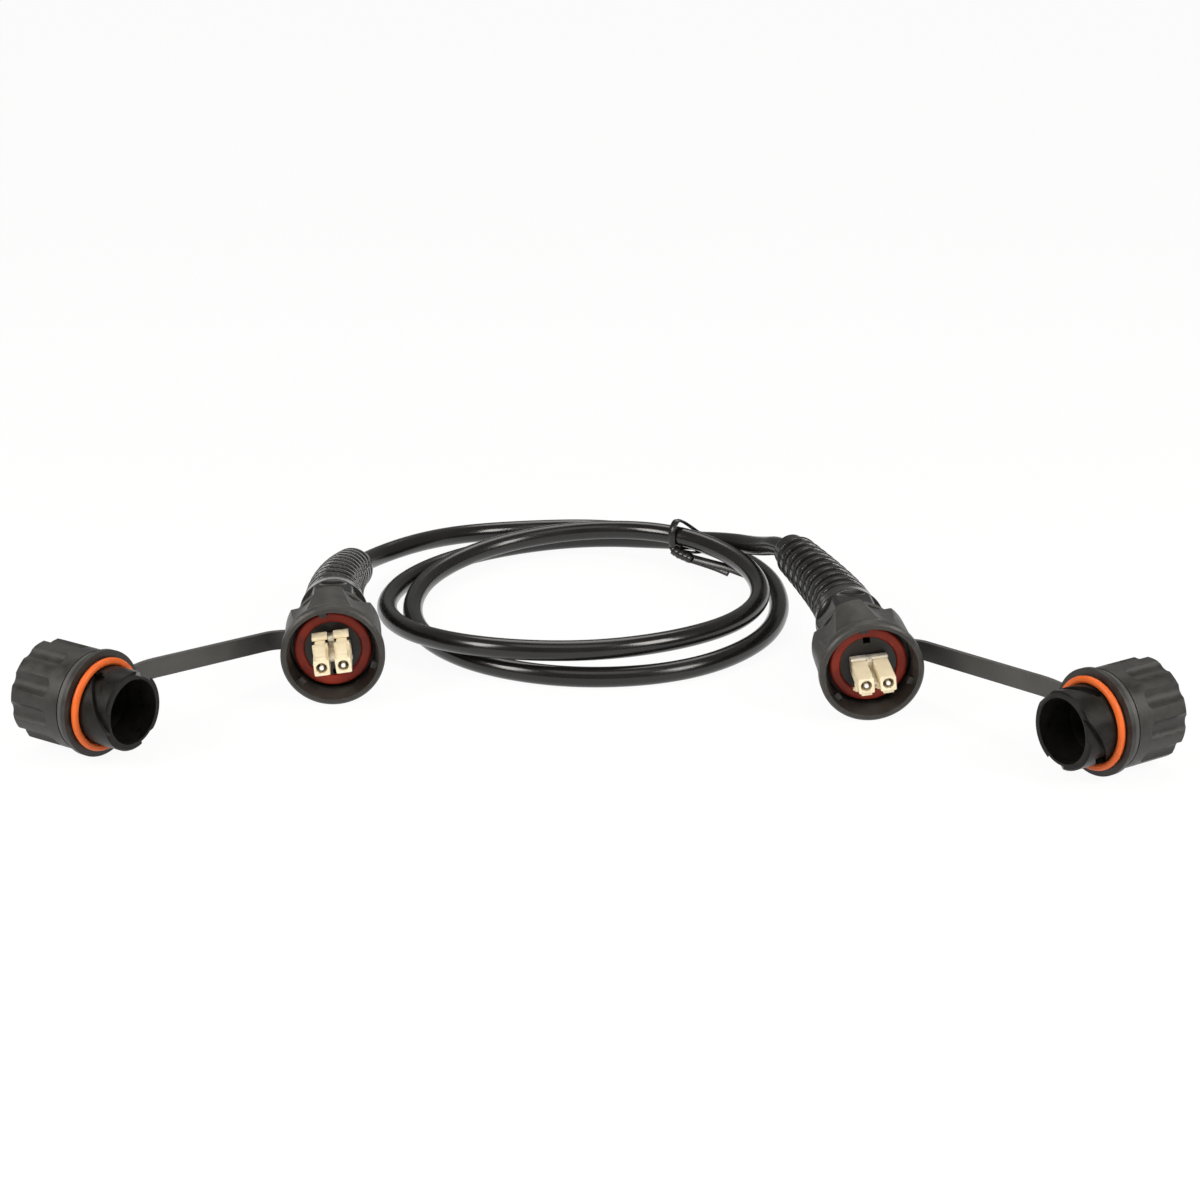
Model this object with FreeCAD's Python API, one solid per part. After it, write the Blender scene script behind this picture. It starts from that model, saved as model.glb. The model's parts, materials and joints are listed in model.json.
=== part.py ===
import FreeCAD, Part
import math
import os

Vector = FreeCAD.Vector
Rotation = FreeCAD.Rotation
Placement = FreeCAD.Placement

# Sealed duplex fibre patch cord: two bayonet plugs with tethered dust caps, and a cable tied in two turns.
# Millimetres, +Z up, +Y from the mouths of the plugs towards the coil. Each plug and cap is drawn along its own
# +X, which points out of its mouth, and depths in a plug are counted back from the rim of its coupling sleeve.

# Coupling sleeve
RIM_DIA = 30.2
RIM_BAND = 3.2
RIM_EDGE = 0.6
SLEEVE_LENGTH = 21.6
SLEEVE_END_GAP = 0.6
SLEEVE_SHOULDER_DIA = 28.8
SLEEVE_REAR_DIA = 28.2
SLEEVE_FLARE = 2.6
SLEEVE_MOUTH_DIA = 26.8
SLEEVE_MOUTH_DEPTH = 5.4
SLEEVE_BORE_DIA = 24.8
SLEEVE_BORE_DEPTH = 10.0
GRIP_RIDGE_COUNT = 5
SCOOP_RADIUS = 8.0
SCOOP_DEPTH = 2.6
SCOOP_SLOPE = 8.5
LUG_COUNT = 3
LUG_START = 12.0
LUG_WIDTH = 2.2
LUG_LENGTH = 2.0
LUG_SETBACK = 2.2
LUG_CIRCLE_DIA = 23.0

# Plug body, seal and inner pieces
TURN_GAP = 0.15
SIDE_GAP = 0.4
BODY_DIA = 20.9
BODY_FLANGE_DIA = 22.8
BODY_FLANGE_WIDTH = 1.6
NECK_DIA = 18.6
SPIGOT_DIA = 15.0
SPIGOT_LENGTH = 12.0
SPIGOT_BORE_DIA = 12.0
SEAL_DEPTH = 6.0
SEAL_WIDTH = 2.0
SEAL_DIA = 22.5
CARRIER_DIA = 16.4
CARRIER_DEPTH = 6.8
CARRIER_LENGTH = 12.0
KEY_SLOT_WIDTH = 2.0
KEY_SLOT_HEIGHT = 1.8
PLUG_FIT = 0.05

# LC connectors
LC_SIDE = 4.5
LC_PITCH = 6.25
LC_REACH = 8.4
LC_MOUTH_DIA = 2.9
LC_MOUTH_LENGTH = 6.4
LC_CHAMBER_DIA = 3.7
LC_CHAMBER_LENGTH = 9.0
LATCH_WIDTH = 3.0
LATCH_THICK = 0.9
LATCH_RISE = 4.3
LATCH_ROOT = 0.4
LATCH_NOSE_LENGTH = 1.4
LATCH_NOSE_RISE = 0.8
LATCH_END = 12.4
LATCH_TAB_LENGTH = 4.0
LATCH_STEP_LENGTH = 1.8
LATCH_STEP_RISE = 2.2
CLIP_START = -6.4
CLIP_WIDTH = 2.4
CLIP_MARGIN = 0.8
CLIP_RISE = 3.0
WEB_END = 4.6
WEB_DROP = 0.6
WEB_THICK = 0.9
FERRULE_DIA = 1.25
FERRULE_SETBACK = 0.2
FERRULE_FLANGE_DIA = 3.3
FERRULE_FLANGE_LENGTH = 2.8
FIBRE_LEG_DIA = 2.0
FIBRE_LEG_LENGTH = 11.0

# Gland nut with its bend relief
NUT_FRONT_DIA = 20.6
NUT_END_DIA = 18.4
NUT_FLAT_COUNT = 6
NUT_ACROSS_FLATS = 18.4
NUT_FLAT_START = 2.0
NUT_FLAT_LENGTH = 9.5
NUT_LENGTH = 19.4
BOOT_LENGTH = 51.0
BOOT_RIB_COUNT = 9
BOOT_SIDE_COUNT = 24
BOOT_RIB_DIA = 18.4
BOOT_END_RIB_DIA = 13.6
BOOT_GROOVE_DEPTH = 0.9
BOOT_TAIL_DIA = 11.8
BOOT_END_DIA = 10.8
BOOT_TAIL_LENGTH = 6.0
GROMMET_LENGTH = 5.6
CRIMP_LENGTH = 7.0
CRIMP_WALL = 0.9
CRIMP_OVERLAP = 6.0

# Dust cap and its strap
CAP_FLANGE_DIA = 30.2
CAP_FLANGE_WIDTH = 1.6
CAP_GROOVE_DIA = 25.2
CAP_GROOVE_WIDTH = 2.2
CAP_GROOVE_GAP = 0.2
CAP_BODY_DIA = 28.6
CAP_LENGTH = 21.6
CAP_EDGE = 0.9
CAP_END_WALL = 3.2
CAP_BORE_DIA = 18.4
CAP_BARREL_DIA = 22.3
CAP_BARREL_LENGTH = 11.3
CAP_BARREL_EDGE = 0.5
FLUTE_COUNT = 10
FLUTE_RADIUS = 3.6
FLUTE_DEPTH = 1.5
FLUTE_LENGTH = 13.6
FLUTE_START = 21.0
FLUTE_WIDTH = 5.6
FLUTE_CORNER = 2.0
CAM_WIDTH = 4.0
CAM_DEPTH = 1.2
CAM_RISE = 10.2
CAM_TURN = 90.0
CAM_START = 106.0
CAM_HOLE_DIA = 2.2
CAM_HOLE_DEPTH = 0.5
CAP_RING_SECTION = 2.1
STRAP_WIDTH = 5.6
STRAP_THICK = 1.6
STRAP_RING_WIDTH = 2.2
STRAP_RING_DIA = 23.6
STRAP_CAP_RING_DIA = 28.4
STRAP_DROP = 3.2
STRAP_RISE = 2.5
STRAP_STUB = 8.0
STRAP_BITE = 0.25

# Cable, its two turns and the tie
CABLE_DIA = 6.2
COIL_CENTRE = Vector(-3.8, 59.7, 0)
COIL_START_ANGLE = 60.0
COIL_STEP = 30.0
COIL_STATION = 60.0
COIL_RADII = (71.5, 61.5, 62.5, 57.5, 53, 57, 57.2, 56, 55, 62, 61.3, 62.5, 62.5)
COIL_HEIGHTS = (4.0, 3.1, 3.1, 3.1, 3.6, 6.6, 10.9, 8.2, 10.2, 10.6, 4.2, 3.1, 6.2)
COIL_INNER_RADIUS = 50.0
COIL_OUTER_RADIUS = 66.5
COIL_TOP = 13.4
COIL_SHOULDER = 6.0
COIL_OVERLAP = {"left": 0.5, "right": 0.85}
ARC_SHARE = 0.45
TIE_ANGLE = 57.0
TIE_WIDTH = 1.8
TIE_THICK = 1.2
TIE_KNOT_LENGTH = 5.0
TIE_KNOT_DIA = 3.6
TIE_TAILS = ((12, -3, -0.5), (16, -6, -1.0))

# Where the two ends lie: the rim and the cap's flange on the floor plan, and how far they turn to the right.
# tilt lifts the plug's mouth, roll turns the connectors in the plug and cap_roll the cap on its axis. side is +1
# where the boot bends to +X, boot_bend is how far behind the nut its bend is, and lead_out is the first straight
# stretch of cable behind its tail.
ENDS = {
    "left": dict(rim=(-75.4, -15.0), yaw=4.7, tilt=0.0, roll=6.5, grip_roll=4.0, side=1,
                 cap=(-135.8, -50.8), cap_yaw=57.0, cap_roll=4.0,
                 boot_turn=16.9, boot_lift=-39.0, boot_bend=22.0, lead_out=10.0),
    "right": dict(rim=(79.2, -27.8), yaw=5.0, tilt=-2.5, roll=186.0, grip_roll=17.0, side=-1,
                  cap=(135.9, -64.5), cap_yaw=-57.0, cap_roll=-38.0,
                  boot_turn=15.0, boot_lift=6.0, boot_bend=14.0, lead_out=4.0),
}

# Free stretch of cable between each boot and the tie, from the boot outwards
LEAD_POINTS = {
    "left": ((-61.0, 108.0, 7.6), (-46.0, 127.0, 4.6), (-25.0, 136.3, 3.1), (-1.5, 138.2, 3.1),
             (16.5, 133.5, 3.1)),
    "right": ((53.0, 87.5, 13.6), (44.5, 101.5, 10.5)),
}

BODY_BARREL_END = SLEEVE_LENGTH + SLEEVE_END_GAP
NUT_DEPTH = BODY_BARREL_END + STRAP_RING_WIDTH + 2 * SIDE_GAP
BOOT_DEPTH = NUT_DEPTH + NUT_LENGTH
STRAP_DEPTH = BODY_BARREL_END + SIDE_GAP + STRAP_RING_WIDTH / 2
LC_TAIL_DEPTH = CARRIER_DEPTH + CARRIER_LENGTH + 1.2
CABLE_END_DEPTH = LC_TAIL_DEPTH + FIBRE_LEG_LENGTH
AXIS_X = Vector(1, 0, 0)
UP = Vector(0, 0, 1)


def revolve(profile):
    """Solid of revolution about X from (x, radius) corners."""
    corners = [Vector(x, radius, 0) for x, radius in profile]
    face = Part.Face(Part.makePolygon(corners + corners[:1]))
    return face.revolve(Vector(0, 0, 0), AXIS_X, 360)


def cylinder(x0, x1, dia):
    """Cylinder about X from x0 to x1."""
    return Part.makeCylinder(dia / 2, abs(x1 - x0), Vector(min(x0, x1), 0, 0), AXIS_X)


def block(x, y, z):
    """Box from (low, high) pairs along each axis."""
    return Part.makeBox(x[1] - x[0], y[1] - y[0], z[1] - z[0], Vector(x[0], y[0], z[0]))


def around_x(shape, angle):
    """Copy of a shape turned about X."""
    turned = shape.copy()
    turned.rotate(Vector(0, 0, 0), AXIS_X, angle)
    return turned


def pattern(shape, count, first=0.0):
    """Even copies of a shape about X."""
    return [around_x(shape, first + 360 / count * i) for i in range(count)]


def join(shapes):
    """One solid from shapes that overlap or share faces."""
    return shapes[0].fuse(shapes[1:]).removeSplitter()


def pipe(edges, dia):
    """Round tube along connected edges, checked against its section times its length."""
    path = Part.Wire(edges)
    start = edges[0].valueAt(edges[0].FirstParameter)
    along = edges[0].tangentAt(edges[0].FirstParameter)
    section = Part.Wire(Part.Circle(start, along, dia / 2).toShape())
    tube = path.makePipeShell([section], True, False)
    expected = math.pi * dia * dia / 4 * path.Length
    if abs(tube.Volume - expected) > 0.01 * expected:
        raise ValueError("a tube does not follow its path")
    return tube


def plug_placement(end):
    """Frame of a plug: origin at the middle of its rim, +X out of its mouth."""
    height = RIM_DIA / 2 * math.cos(math.radians(end["tilt"]))
    turn = Rotation(UP, end["yaw"] - 90).multiply(Rotation(Vector(0, 1, 0), -end["tilt"]))
    return Placement(Vector(end["rim"][0], end["rim"][1], height), turn)


def cap_placement(end):
    """Frame of a dust cap: origin at the middle of its flange face, +X out of its mouth."""
    place = Vector(end["cap"][0], end["cap"][1], CAP_FLANGE_DIA / 2)
    return Placement(place, Rotation(UP, end["cap_yaw"] - 90))


def coupling_sleeve(grip_roll):
    """Bayonet sleeve: plain flared rim, scooped grip and inner lugs."""
    rim = RIM_DIA / 2
    mouth = SLEEVE_MOUTH_DIA / 2
    rear = SLEEVE_REAR_DIA / 2
    bore = SLEEVE_BORE_DIA / 2
    neck = BODY_DIA / 2 + TURN_GAP
    sleeve = revolve([
        (0, mouth), (0, rim - RIM_EDGE), (-RIM_EDGE, rim), (-RIM_BAND, rim),
        (-RIM_BAND - SLEEVE_FLARE, SLEEVE_SHOULDER_DIA / 2),
        (-SLEEVE_LENGTH + RIM_EDGE, rear), (-SLEEVE_LENGTH, rear - RIM_EDGE),
        (-SLEEVE_LENGTH, neck), (-SLEEVE_BORE_DEPTH, neck), (-SLEEVE_BORE_DEPTH, bore),
        (-SLEEVE_MOUTH_DEPTH, bore)])
    scoop_axis = rear - SCOOP_DEPTH + SCOOP_RADIUS
    scoop = Part.makeCylinder(SCOOP_RADIUS, SLEEVE_LENGTH, Vector(-SLEEVE_LENGTH, 0, scoop_axis), AXIS_X)
    front = -RIM_BAND - SLEEVE_FLARE / 2
    scoop = scoop.common(block((-2 * SLEEVE_LENGTH, front), (-rim, rim), (0, scoop_axis)))
    scoop.rotate(Vector(-SLEEVE_LENGTH, 0, rear - SCOOP_DEPTH), Vector(0, 1, 0), -SCOOP_SLOPE)
    sleeve = sleeve.cut(pattern(scoop, GRIP_RIDGE_COUNT, 180 / GRIP_RIDGE_COUNT + grip_roll))
    lug = block((-LUG_SETBACK - LUG_LENGTH, -LUG_SETBACK), (-LUG_WIDTH / 2, LUG_WIDTH / 2),
                (LUG_CIRCLE_DIA / 2, mouth + RIM_EDGE))
    return join([sleeve] + pattern(lug, LUG_COUNT, LUG_START))


def plug_body():
    """Body that the seal, carrier, sleeve, strap and gland nut sit on."""
    seat = -SEAL_DEPTH - SEAL_WIDTH
    flange = seat - BODY_FLANGE_WIDTH
    carrier_end = -CARRIER_DEPTH - CARRIER_LENGTH
    end = -NUT_DEPTH - SPIGOT_LENGTH
    bore = CARRIER_DIA / 2 + PLUG_FIT
    return revolve([
        (seat, bore), (seat, BODY_FLANGE_DIA / 2), (flange, BODY_FLANGE_DIA / 2), (flange, BODY_DIA / 2),
        (-BODY_BARREL_END, BODY_DIA / 2), (-BODY_BARREL_END, NECK_DIA / 2), (-NUT_DEPTH, NECK_DIA / 2),
        (-NUT_DEPTH, SPIGOT_DIA / 2), (end, SPIGOT_DIA / 2), (end, SPIGOT_BORE_DIA / 2),
        (carrier_end, SPIGOT_BORE_DIA / 2), (carrier_end, bore)])


def face_seal():
    """Flat ring that the mating half presses on."""
    edge = SEAL_WIDTH / 4
    front = -SEAL_DEPTH
    back = front - SEAL_WIDTH
    inner = CARRIER_DIA / 2 + PLUG_FIT
    outer = SEAL_DIA / 2
    return revolve([(back, inner), (front, inner + edge), (front, outer - edge), (back, outer)])


def lc_places():
    """Sideways places of the two connectors."""
    return {"a": -LC_PITCH / 2, "b": LC_PITCH / 2}


def lc_carrier():
    """Round insert that holds the two connectors, with a key slot opposite their latches."""
    front = -CARRIER_DEPTH
    back = front - CARRIER_LENGTH
    disc = cylinder(back, front, CARRIER_DIA)
    half = LC_SIDE / 2 + PLUG_FIT
    cuts = [block((back, front), (y - half, y + half), (-half, half)) for y in lc_places().values()]
    radius = CARRIER_DIA / 2
    cuts.append(block((back, front), (-KEY_SLOT_WIDTH / 2, KEY_SLOT_WIDTH / 2),
                      (-radius, KEY_SLOT_HEIGHT - radius)))
    return disc.cut(cuts)


def latch_lever(width):
    """Sloping latch lever on a connector's upper side, from a low nose at its front."""
    half = LC_SIDE / 2
    root = LC_REACH - LATCH_ROOT
    end = LC_REACH - LATCH_END
    outline = [(root, half - LATCH_THICK), (root, half + LATCH_NOSE_RISE),
               (root - LATCH_NOSE_LENGTH, half + LATCH_NOSE_RISE), (end, half + LATCH_RISE),
               (end, half + LATCH_RISE - LATCH_THICK)]
    corners = [Vector(x, -width / 2, z) for x, z in outline]
    return Part.Face(Part.makePolygon(corners + corners[:1])).extrude(Vector(0, width, 0))


def lc_housing(y):
    """Square connector body with its latch lever, bored for the ferrule."""
    half = LC_SIDE / 2
    front = LC_REACH
    body = block((-LC_TAIL_DEPTH, front), (-half, half), (-half, half))
    tab_start = front - LATCH_END
    tab_room = block((tab_start, tab_start + LATCH_TAB_LENGTH), (-half, half), (0, LC_REACH))
    tab = latch_lever(LC_SIDE).common(tab_room)
    step_front = front - (LATCH_ROOT + LATCH_END) / 2
    step = block((step_front - LATCH_STEP_LENGTH, step_front), (-half, half),
                 (half - LATCH_THICK, half + LATCH_STEP_RISE))
    mouth = front - LC_MOUTH_LENGTH
    chamber = mouth - LC_CHAMBER_LENGTH
    bores = [cylinder(mouth, front, LC_MOUTH_DIA), cylinder(chamber, mouth, LC_CHAMBER_DIA)]
    housing = join([body, latch_lever(LATCH_WIDTH), tab, step]).cut(bores)
    housing.translate(Vector(0, y, 0))
    return housing


def lc_clip():
    """Clip that ties the two connectors into a pair: a bar under them, a post and a thin web between them."""
    half = LC_SIDE / 2
    reach = LC_PITCH / 2 + half
    gap = LC_PITCH / 2 - half - PLUG_FIT
    x = (CLIP_START, CLIP_START + CLIP_WIDTH)
    bar = block(x, (-reach, reach), (-half - CLIP_MARGIN, -half - PLUG_FIT))
    post = block(x, (-gap, gap), (-half - CLIP_MARGIN, half + CLIP_RISE))
    top = half - WEB_DROP
    web = block((-CARRIER_DEPTH, WEB_END), (-gap, gap), (top - WEB_THICK, top))
    return join([bar, post, web])


def ferrule(y):
    """Ceramic ferrule with the flange that its spring pushes on."""
    tip = LC_REACH - FERRULE_SETBACK
    shoulder = LC_REACH - LC_MOUTH_LENGTH - FERRULE_SETBACK
    back = shoulder - FERRULE_FLANGE_LENGTH
    whole = revolve([(back, 0), (back, FERRULE_FLANGE_DIA / 2), (shoulder, FERRULE_FLANGE_DIA / 2),
                     (shoulder, FERRULE_DIA / 2), (tip, FERRULE_DIA / 2), (tip, 0)])
    whole.translate(Vector(0, y, 0))
    return whole


def fibre_legs():
    """Two buffered fibres from the end of the cable to the connectors."""
    legs = []
    for y in lc_places().values():
        places = ((LC_TAIL_DEPTH, y), (CABLE_END_DEPTH, math.copysign(FIBRE_LEG_DIA * 0.6, y)))
        ends = [Part.Wire(Part.Circle(Vector(-depth, across, 0), AXIS_X, FIBRE_LEG_DIA / 2).toShape())
                for depth, across in places]
        legs.append(Part.makeLoft(ends, True, True))
    return Part.makeCompound(legs)


def crimp_sleeve():
    """Metal sleeve that grips the strength yarns over the end of the cable."""
    middle = -CABLE_END_DEPTH - CRIMP_OVERLAP + CRIMP_LENGTH / 2
    return washer(middle, CRIMP_LENGTH, CABLE_DIA, CABLE_DIA + 2 * CRIMP_WALL)


def grommet():
    """Rubber bush that the gland nut squeezes on the cable."""
    front = -NUT_DEPTH - SPIGOT_LENGTH
    return washer(front - GROMMET_LENGTH / 2, GROMMET_LENGTH, CABLE_DIA, SPIGOT_DIA)


def boot_corner(end):
    """Corner of the cable's path where it turns inside the boot, and its way out, in the plug's frame."""
    turn = math.radians(end["boot_turn"])
    lift = math.radians(end["boot_lift"])
    across = Vector(0, end["side"] * math.cos(lift), math.sin(lift))
    corner = Vector(-BOOT_DEPTH - end["boot_bend"], 0, 0)
    return corner, AXIS_X * -math.cos(turn) + across * math.sin(turn)


def boot_end(end, beyond=0.0):
    """Point on the cable's path at the boot's tail or beyond it, in the plug's frame."""
    corner, out = boot_corner(end)
    return corner + out * (BOOT_LENGTH - end["boot_bend"] + beyond)


def rounded(points):
    """Straight runs joined by tangent arcs through a list of corner points, and the radii of the arcs."""
    edges = []
    radii = []
    last = points[0]
    for before, corner, after in zip(points, points[1:], points[2:]):
        way_in = corner - before
        way_out = after - corner
        reach = ARC_SHARE * min(way_in.Length, way_out.Length)
        way_in.normalize()
        way_out.normalize()
        half = way_in.getAngle(way_out) / 2
        radius = reach / math.tan(half)
        start = corner - way_in * reach
        stop = corner + way_out * reach
        middle = corner + (way_out - way_in).normalize() * (radius * (1 / math.cos(half) - 1))
        edges.append(Part.LineSegment(last, start).toShape())
        edges.append(Part.Arc(start, middle, stop).toShape())
        radii.append(round(radius, 1))
        last = stop
    edges.append(Part.LineSegment(last, points[-1]).toShape())
    return edges, radii


def boot_path(end):
    """Line, arc and line that the boot follows from the nut to its tail, in the plug's frame."""
    inside = [Vector(-CABLE_END_DEPTH, 0, 0), boot_corner(end)[0], boot_end(end, end["lead_out"])]
    bend = rounded(inside)[0][1]
    return [Part.LineSegment(Vector(-BOOT_DEPTH, 0, 0), bend.Vertexes[0].Point).toShape(), bend,
            Part.LineSegment(bend.Vertexes[-1].Point, boot_end(end)).toShape()]


def along_path(edges, distance):
    """Point and direction at a distance along connected edges."""
    for edge in edges:
        if distance <= edge.Length or edge is edges[-1]:
            parameter = edge.getParameterByLength(min(distance, edge.Length))
            return edge.valueAt(parameter), edge.tangentAt(parameter)
        distance -= edge.Length


def boot_ring(path, distance, dia):
    """Many-sided ring square to the boot's path."""
    point, along = along_path(path, distance)
    turns = [2 * math.pi * i / BOOT_SIDE_COUNT for i in range(BOOT_SIDE_COUNT + 1)]
    ring = Part.makePolygon([Vector(0, math.cos(a), math.sin(a)) * (dia / 2) for a in turns])
    ring.Placement = Placement(point, Rotation(AXIS_X, along))
    return ring


def bend_relief(path):
    """Tapered boot with ribs across its path and a plain tail."""
    length = sum(edge.Length for edge in path)
    pitch = (length - BOOT_TAIL_LENGTH) / BOOT_RIB_COUNT
    taper = (BOOT_END_RIB_DIA - BOOT_RIB_DIA) / (BOOT_RIB_COUNT - 1)
    rings = []
    for i in range(BOOT_RIB_COUNT):
        dia = BOOT_RIB_DIA + taper * i
        rings.append(boot_ring(path, pitch * i, dia - 2 * BOOT_GROOVE_DEPTH))
        rings.append(boot_ring(path, pitch * (i + 0.5), dia))
    rings.append(boot_ring(path, length - BOOT_TAIL_LENGTH, BOOT_TAIL_DIA - BOOT_GROOVE_DEPTH))
    rings.append(boot_ring(path, length - BOOT_TAIL_LENGTH + BOOT_GROOVE_DEPTH, BOOT_TAIL_DIA))
    rings.append(boot_ring(path, length, BOOT_END_DIA))
    return Part.makeLoft(rings, True, True)


def gland_nut(end):
    """Nut with wrench flats and a ribbed bend relief moulded on it."""
    front = -NUT_DEPTH
    back = front - NUT_LENGTH
    flats_end = front - NUT_FLAT_START - NUT_FLAT_LENGTH
    nut = revolve([(front, 0), (front, NUT_FRONT_DIA / 2), (flats_end, NUT_FRONT_DIA / 2),
                   (back, NUT_END_DIA / 2), (back, 0)])
    flat = block((flats_end, front - NUT_FLAT_START), (-NUT_FRONT_DIA, NUT_FRONT_DIA),
                 (NUT_ACROSS_FLATS / 2, NUT_FRONT_DIA))
    nut = nut.cut(pattern(flat, NUT_FLAT_COUNT))
    path = boot_path(end)
    room = cylinder(front, front - SPIGOT_LENGTH - GROMMET_LENGTH, SPIGOT_DIA)
    cable_way = [cylinder(front, back, CABLE_DIA), pipe(path, CABLE_DIA)]
    return join([nut, bend_relief(path)]).cut([room] + cable_way)


def cam_slot():
    """Slot of the cap's bayonet, open at the rim, and the blind hole that its lug snaps into."""
    outer = CAP_BARREL_DIA / 2
    start = CAP_BARREL_LENGTH + CAM_WIDTH / 2
    helix = Part.makeHelix(CAM_RISE * 360 / CAM_TURN, CAM_RISE, outer)
    low, high = outer - CAM_DEPTH, outer + CAM_DEPTH
    half = CAM_WIDTH / 2
    section = Part.makePolygon([Vector(r, 0, z) for r, z in (
        (low, -half), (high, -half), (high, half), (low, half), (low, -half))])
    groove = Part.Wire(helix.Edges).makePipeShell([section], True, True)
    groove.Placement = Placement(Vector(start, 0, 0), Rotation(Vector(0, 1, 0), -90))
    hole = Part.makeCylinder(CAM_HOLE_DIA / 2, outer, Vector(start - CAM_RISE, 0, low - CAM_HOLE_DEPTH), UP)
    return groove, around_x(hole, -CAM_TURN)


def cap_flute():
    """Rounded flute in the cap's side, open at its end, with round corners at its front."""
    body = CAP_BODY_DIA / 2
    front = FLUTE_LENGTH - CAP_LENGTH
    half = FLUTE_WIDTH / 2
    straight = front - FLUTE_CORNER
    parts = [block((-2 * CAP_LENGTH, straight), (-half, half), (0, CAP_BODY_DIA)),
             block((-2 * CAP_LENGTH, front), (FLUTE_CORNER - half, half - FLUTE_CORNER), (0, CAP_BODY_DIA))]
    for side in (FLUTE_CORNER - half, half - FLUTE_CORNER):
        parts.append(Part.makeCylinder(FLUTE_CORNER, CAP_BODY_DIA, Vector(straight, side, 0), UP))
    scoop = Vector(-2 * CAP_LENGTH, 0, body - FLUTE_DEPTH + FLUTE_RADIUS)
    return join(parts).common(Part.makeCylinder(FLUTE_RADIUS, 2 * CAP_LENGTH, scoop, AXIS_X))


def dust_cap(cap_roll):
    """Fluted cap with a bayonet barrel, turned on its axis."""
    flange = CAP_FLANGE_DIA / 2
    barrel = CAP_BARREL_DIA / 2
    body = CAP_BODY_DIA / 2
    groove_end = -CAP_FLANGE_WIDTH - CAP_GROOVE_WIDTH
    bore_end = CAP_END_WALL - CAP_LENGTH
    cap = revolve([
        (CAP_BARREL_LENGTH, CAP_BORE_DIA / 2), (CAP_BARREL_LENGTH, barrel - CAP_BARREL_EDGE),
        (CAP_BARREL_LENGTH - CAP_BARREL_EDGE, barrel), (0, barrel), (0, flange), (-CAP_FLANGE_WIDTH, flange),
        (-CAP_FLANGE_WIDTH, CAP_GROOVE_DIA / 2), (groove_end, CAP_GROOVE_DIA / 2), (groove_end, body),
        (CAP_EDGE - CAP_LENGTH, body), (-CAP_LENGTH, body - CAP_EDGE), (-CAP_LENGTH, 0), (bore_end, 0),
        (bore_end, CAP_BORE_DIA / 2)])
    cams = [cut for shape in cam_slot() for cut in pattern(shape, LUG_COUNT, CAM_START + cap_roll)]
    return cap.cut(pattern(cap_flute(), FLUTE_COUNT, FLUTE_START + cap_roll) + cams)


def cap_ring():
    """Round rubber ring against the cap's flange."""
    half = CAP_RING_SECTION / 2
    middle = CAP_BARREL_DIA / 2 + half
    corners = [math.radians(30 + 60 * i) for i in range(6)]
    return revolve([(half * (1 + math.sin(a)), middle + half * math.cos(a)) for a in corners])


def washer(x, width, bore_dia, dia):
    """Flat ring about X, centred at x."""
    return cylinder(x - width / 2, x + width / 2, dia).cut(cylinder(x - width / 2, x + width / 2, bore_dia))


def strap_band(points):
    """Flat band on edge along a route with rounded corners."""
    edges = rounded(points)[0]
    along = edges[0].tangentAt(edges[0].FirstParameter)
    across = UP.cross(along).normalize() * (STRAP_THICK / 2)
    upwards = UP * (STRAP_WIDTH / 2)
    corners = [points[0] + across * a + upwards * u for a, u in ((1, 1), (-1, 1), (-1, -1), (1, -1), (1, 1))]
    sweep = Part.BRepOffsetAPI.MakePipeShell(Part.Wire(edges))
    sweep.setBiNormalMode(UP)
    sweep.add(Part.makePolygon(corners))
    sweep.build()
    sweep.makeSolid()
    return sweep.shape()


def strap(end):
    """Rubber tether: a ring round the plug's neck, a band and a ring in the cap's groove."""
    plug = plug_placement(end)
    cap = cap_placement(end)
    cap_x = -CAP_FLANGE_WIDTH - CAP_GROOVE_WIDTH / 2
    cap_bore = CAP_GROOVE_DIA + 2 * TURN_GAP
    ring = washer(-STRAP_DEPTH, STRAP_RING_WIDTH, NECK_DIA + 2 * TURN_GAP, STRAP_RING_DIA)
    cap_band = washer(cap_x, CAP_GROOVE_WIDTH - 2 * CAP_GROOVE_GAP, cap_bore, STRAP_CAP_RING_DIA)
    ring.Placement = plug
    cap_band.Placement = cap
    outwards = Vector(0, -end["side"], 0)
    start = Vector(-STRAP_DEPTH, 0, -STRAP_DROP) + outwards * (NECK_DIA / 2 + TURN_GAP + STRAP_BITE)
    stop = Vector(cap_x, 0, STRAP_RISE) - outwards * (cap_bore / 2 + STRAP_BITE / 2)
    band = strap_band([plug.multVec(start), plug.multVec(start + outwards * STRAP_STUB),
                       cap.multVec(stop - outwards * STRAP_STUB), cap.multVec(stop)])
    return join([ring, band, cap_band])


def smooth_value(stations, place):
    """Value between evenly spaced stations on a curve through them."""
    i = min(int(place), len(stations) - 2)
    u = place - i
    before, a, b, after = (stations[min(max(k, 0), len(stations) - 1)] for k in range(i - 1, i + 3))
    return (a + u * (b - before) / 2 + u * u * (before - 2.5 * a + 2 * b - after / 2)
            + u ** 3 * (1.5 * (a - b) + (after - before) / 2))


def coil_points():
    """Corner points of the two turns, clockwise from the tie, on the floor or where they cross over."""
    spread = 1 / math.cos(math.radians(COIL_STEP / 2))
    count = round((len(COIL_RADII) - 1) * COIL_STATION / COIL_STEP)
    points = []
    for i in range(count + 1):
        angle = math.radians(COIL_START_ANGLE - COIL_STEP * i)
        place = i * COIL_STEP / COIL_STATION
        radius = smooth_value(COIL_RADII, place) * spread
        height = max(CABLE_DIA / 2, smooth_value(COIL_HEIGHTS, place))
        points.append(COIL_CENTRE + Vector(radius * math.cos(angle), radius * math.sin(angle), height))
    return points


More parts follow.
